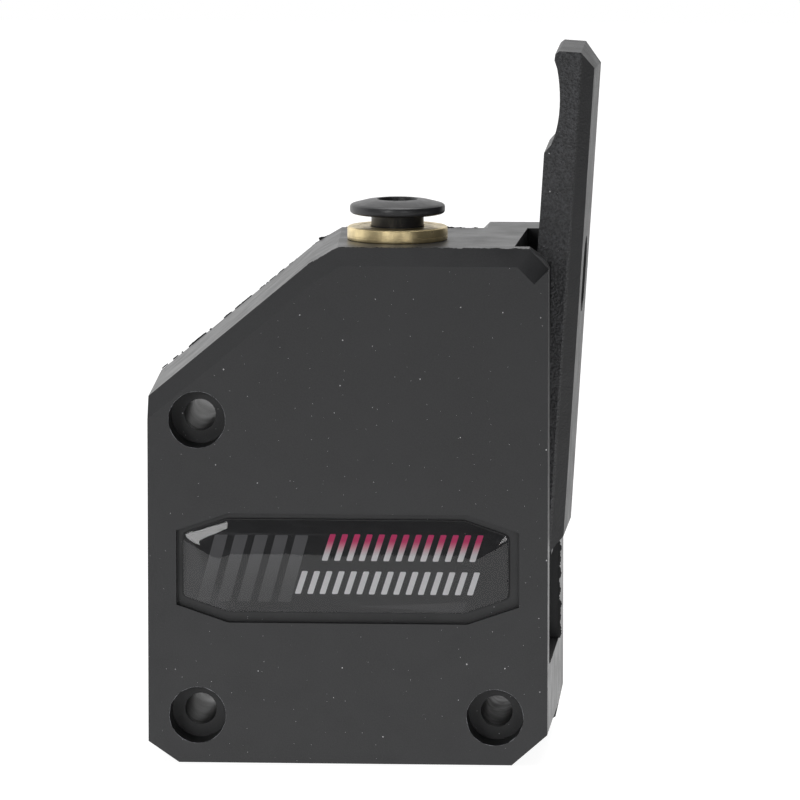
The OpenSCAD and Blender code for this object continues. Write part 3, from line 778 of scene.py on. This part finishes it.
def studio_world():
    """White surround: dimmer in front, to the right and overhead, and plain white to the camera."""
    world = bpy.data.worlds.new("studio")
    bpy.context.scene.world = world
    world.use_nodes = True
    tree = world.node_tree
    tree.nodes.clear()

    def add(kind, **settings):
        made = tree.nodes.new(kind)
        for key, value in settings.items():
            setattr(made, key, value)
        return made

    def ramp(axis, ends, **settings):
        made = add("ShaderNodeMapRange", **settings)
        for socket, value in zip(("From Min", "From Max", "To Min", "To Max"), ends):
            made.inputs[socket].default_value = value
        tree.links.new(parts.outputs[axis], made.inputs["Value"])
        return made.outputs["Result"]

    parts = add("ShaderNodeSeparateXYZ")
    tree.links.new(add("ShaderNodeTexCoord").outputs["Generated"], parts.inputs[0])
    strength = ramp("Y", WORLD_FRONT_TO_BACK, interpolation_type="SMOOTHSTEP")
    for axis, ends in (("X", WORLD_LEFT_TO_RIGHT), ("X", WORLD_FAR_RIGHT), ("Z", WORLD_LOW_TO_HIGH)):
        both = add("ShaderNodeMath", operation="MULTIPLY")
        tree.links.new(strength, both.inputs[0])
        tree.links.new(ramp(axis, ends), both.inputs[1])
        strength = both.outputs[0]
    pick = add("ShaderNodeMix")
    pick.inputs["B"].default_value = 1.0
    tree.links.new(add("ShaderNodeLightPath").outputs["Is Camera Ray"], pick.inputs["Factor"])
    tree.links.new(strength, pick.inputs["A"])
    light = add("ShaderNodeBackground")
    light.inputs["Color"].default_value = (1, 1, 1, 1)
    tree.links.new(pick.outputs[0], light.inputs["Strength"])
    tree.links.new(light.outputs[0], add("ShaderNodeOutputWorld").inputs[0])


def studio_floor():
    """Pale paper under the object. It stops short at the right, so that side of the lever stays dark."""
    bm = bmesh.new()
    corners = ((FLOOR_LEFT, FLOOR_FRONT), (FLOOR_RIGHT, FLOOR_FRONT),
               (FLOOR_RIGHT, FLOOR_BACK), (FLOOR_LEFT, FLOOR_BACK))
    bm.faces.new([bm.verts.new((x, y, cad_low.z)) for x, y in corners])
    mesh = bpy.data.meshes.new("studio_floor")
    bm.to_mesh(mesh)
    bm.free()
    g = Graph("floor_paper")
    tone = g.mix(g.spread(g.noise(0.05), 0.3, 0.7), (0.16, 0.16, 0.16), (0.18, 0.18, 0.18))
    g.set(Base_Color=tone, Roughness=0.7)
    g.bsdf.inputs["Emission Color"].default_value = (1, 1, 1, 1)
    g.bsdf.inputs["Emission Strength"].default_value = FLOOR_GLOW
    link_mesh("studio_floor", mesh, g.material)


CAMERA_TURN = math.radians(3.4)
CAMERA_RISE = math.radians(7.4)
CAMERA_REACH = 850 * MM
CAMERA_LOOK = Vector((0, FRONT, 0))
CAMERA_SLIDE = (-5.604 * MM, -17.55 * MM)
CAMERA_LENS = 368.395
SENSOR = 36.0


def studio_camera():
    ahead = Vector((-math.sin(CAMERA_TURN) * math.cos(CAMERA_RISE),
                    math.cos(CAMERA_TURN) * math.cos(CAMERA_RISE), -math.sin(CAMERA_RISE)))
    right = Vector((math.cos(CAMERA_TURN), math.sin(CAMERA_TURN), 0))
    up = right.cross(ahead)
    data = bpy.data.cameras.new("camera")
    data.sensor_width = SENSOR
    data.lens = CAMERA_LENS
    data.clip_start = 0.05
    data.clip_end = 20
    camera = bpy.data.objects.new("camera", data)
    bpy.context.scene.collection.objects.link(camera)
    place = CAMERA_LOOK - ahead * CAMERA_REACH - right * CAMERA_SLIDE[0] - up * CAMERA_SLIDE[1]
    turn = Matrix((right, up, -ahead)).transposed().to_4x4()
    camera.matrix_world = Matrix.Translation(place) @ turn
    bpy.context.scene.camera = camera


studio_world()
studio_floor()
studio_camera()
softbox("key_left", (-0.25, -0.74, 0.15), (0, 0, 0), (0.17, 0.24), 1.0)
softbox("fill_right", (0.28, -0.76, 0.10), (0, 0, 0), (0.16, 0.20), 0.5)
softbox("side_left", (-0.50, -0.55, 0.50), (0, 0, 0.01), (0.30, 0.30), 0.35)
softbox("top", (0.05, 0.10, 0.85), (0, 0, 0), (0.60, 0.60), 3.6)
bpy.context.scene.view_settings.view_transform = "Standard"
